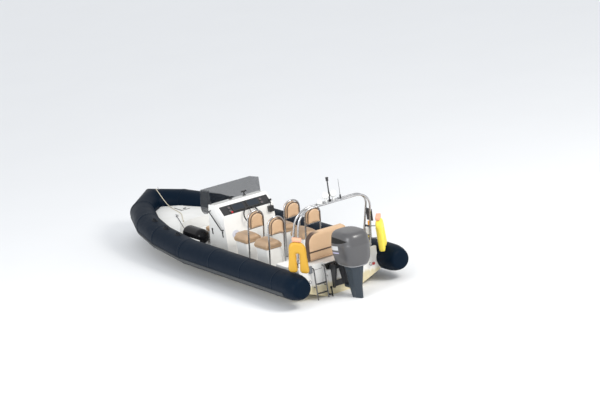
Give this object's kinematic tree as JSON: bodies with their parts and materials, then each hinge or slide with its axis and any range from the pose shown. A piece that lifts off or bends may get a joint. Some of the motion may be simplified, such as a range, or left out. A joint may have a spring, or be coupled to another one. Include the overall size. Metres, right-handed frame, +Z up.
{
  "type": "inflatable rib boat",
  "caption": "Rigid-hulled inflatable boat with helm console, windscreen, jockey seats, aft bench, equipment arch and a tilting, steering outboard engine.",
  "frame": {"origin": "centreline at the aft face of the transom, at the running waterline", "axes": "+X to the bow, +Y to port, +Z up"},
  "size_m": [8.8937, 2.8196, 2.8743],
  "materials": {
    "aerial_black": "satin",
    "black_panel": "matt",
    "black_rubber": "matt",
    "bracket_grey": "satin paint",
    "buoy_yellow": "coated fabric",
    "cast_block": "cast",
    "collar_fabric": "semi-gloss coated fabric",
    "console_gelcoat": "gloss",
    "cowl_grey": "satin paint",
    "deck_gelcoat": "satin gelcoat",
    "engine_grey": "satin paint",
    "fender_black": "gloss",
    "float_pink": "faded",
    "hull_gelcoat": "glossy, yellowed below the waterline",
    "lamp_white": "gloss",
    "lanyard_black": "braided cord",
    "marker_orange": "orange over white",
    "prop_metal": "polished",
    "rope_cream": "laid rope",
    "stainless": "polished stainless",
    "tab_black": "satin",
    "tinted_glazing": "tinted",
    "upholstery": "marine vinyl, satin"
  },
  "bodies": {
    "boat": {"arch": "stainless", "arch_domes": "lamp_white", "arch_gear": "aerial_black", "bench_back": "upholstery", "bench_base": "deck_gelcoat", "bench_cushion": "upholstery", "boat_eyes": "stainless", "clamp_bracket": "bracket_grey", "console": "console_gelcoat", "console_cushion": "upholstery", "console_rails": "black_panel", "console_seat": "console_gelcoat", "dash_panel": "black_panel", "fender": "fender_black", "fender_cord": "lanyard_black", "foredeck": "deck_gelcoat", "helm_column": "black_panel", "hull": "hull_gelcoat", "ladder": "stainless", "lifebuoy_floats": "float_pink", "lifebuoy_port": "buoy_yellow", "lifebuoy_stbd": "buoy_yellow", "marker_light": "marker_orange", "mast_light": "aerial_black", "painter": "rope_cream", "rub_strakes": "black_rubber", "seat_back_1": "upholstery", "seat_back_2": "upholstery", "seat_back_3": "upholstery", "seat_back_4": "upholstery", "seat_cushion_1": "upholstery", "seat_cushion_2": "upholstery", "seat_cushion_3": "upholstery", "seat_cushion_4": "upholstery", "seat_hoop_1": "stainless", "seat_hoop_2": "stainless", "seat_hoop_3": "stainless", "seat_hoop_4": "stainless", "seat_pod_1": "console_gelcoat", "seat_pod_2": "console_gelcoat", "seat_pod_3": "console_gelcoat", "seat_pod_4": "console_gelcoat", "sole": "deck_gelcoat", "throttle": "black_panel", "trim_tabs": "tab_black", "tube_aft_port": "collar_fabric", "tube_aft_stbd": "collar_fabric", "tube_bow": "collar_fabric", "tube_fore_port": "collar_fabric", "tube_fore_stbd": "collar_fabric", "whip_aerial": "aerial_black", "windscreen": "tinted_glazing"},
    "tilt": {"swivel_bracket": "bracket_grey"},
    "steering": {"midsection": "engine_grey", "gearcase": "engine_grey", "cowl": "cowl_grey", "powerhead": "cast_block"},
    "screw": {"propeller": "prop_metal"},
    "helm": {"steering_wheel": "black_rubber"},
    "lid": {"locker_lid": "deck_gelcoat"}
  },
  "joints": [
    {"name": "engine_tilt", "type": "hinge", "parent": "boat", "child": "tilt", "pos_m": [-0.135, 0, 0.56], "axis": [0, 1, 0], "range_deg": [-4, 28]},
    {"name": "engine_steer", "type": "hinge", "parent": "tilt", "child": "steering", "pos_m": [-0.235, 0, 0.4], "axis": [0, 0, 1], "range_deg": [-30, 30]},
    {"name": "propeller_spin", "type": "hinge", "parent": "steering", "child": "screw", "pos_m": [-0.875, 0, -0.33], "axis": [1, 0, 0], "continuous": true},
    {"name": "helm_turn", "type": "hinge", "parent": "boat", "child": "helm", "pos_m": [3.333, -0.02, 1.01], "axis": [-0.9063, 0, 0.4226], "range_deg": [-720, 720]},
    {"name": "locker_lid_hinge", "type": "hinge", "parent": "boat", "child": "lid", "pos_m": [6.814, -0.205, 0.611], "axis": [0, 1, 0], "range_deg": [0, 100]}
  ],
  "couplings": [
    {"joint": "helm_turn", "follows": "engine_steer", "ratio": -24}
  ]
}
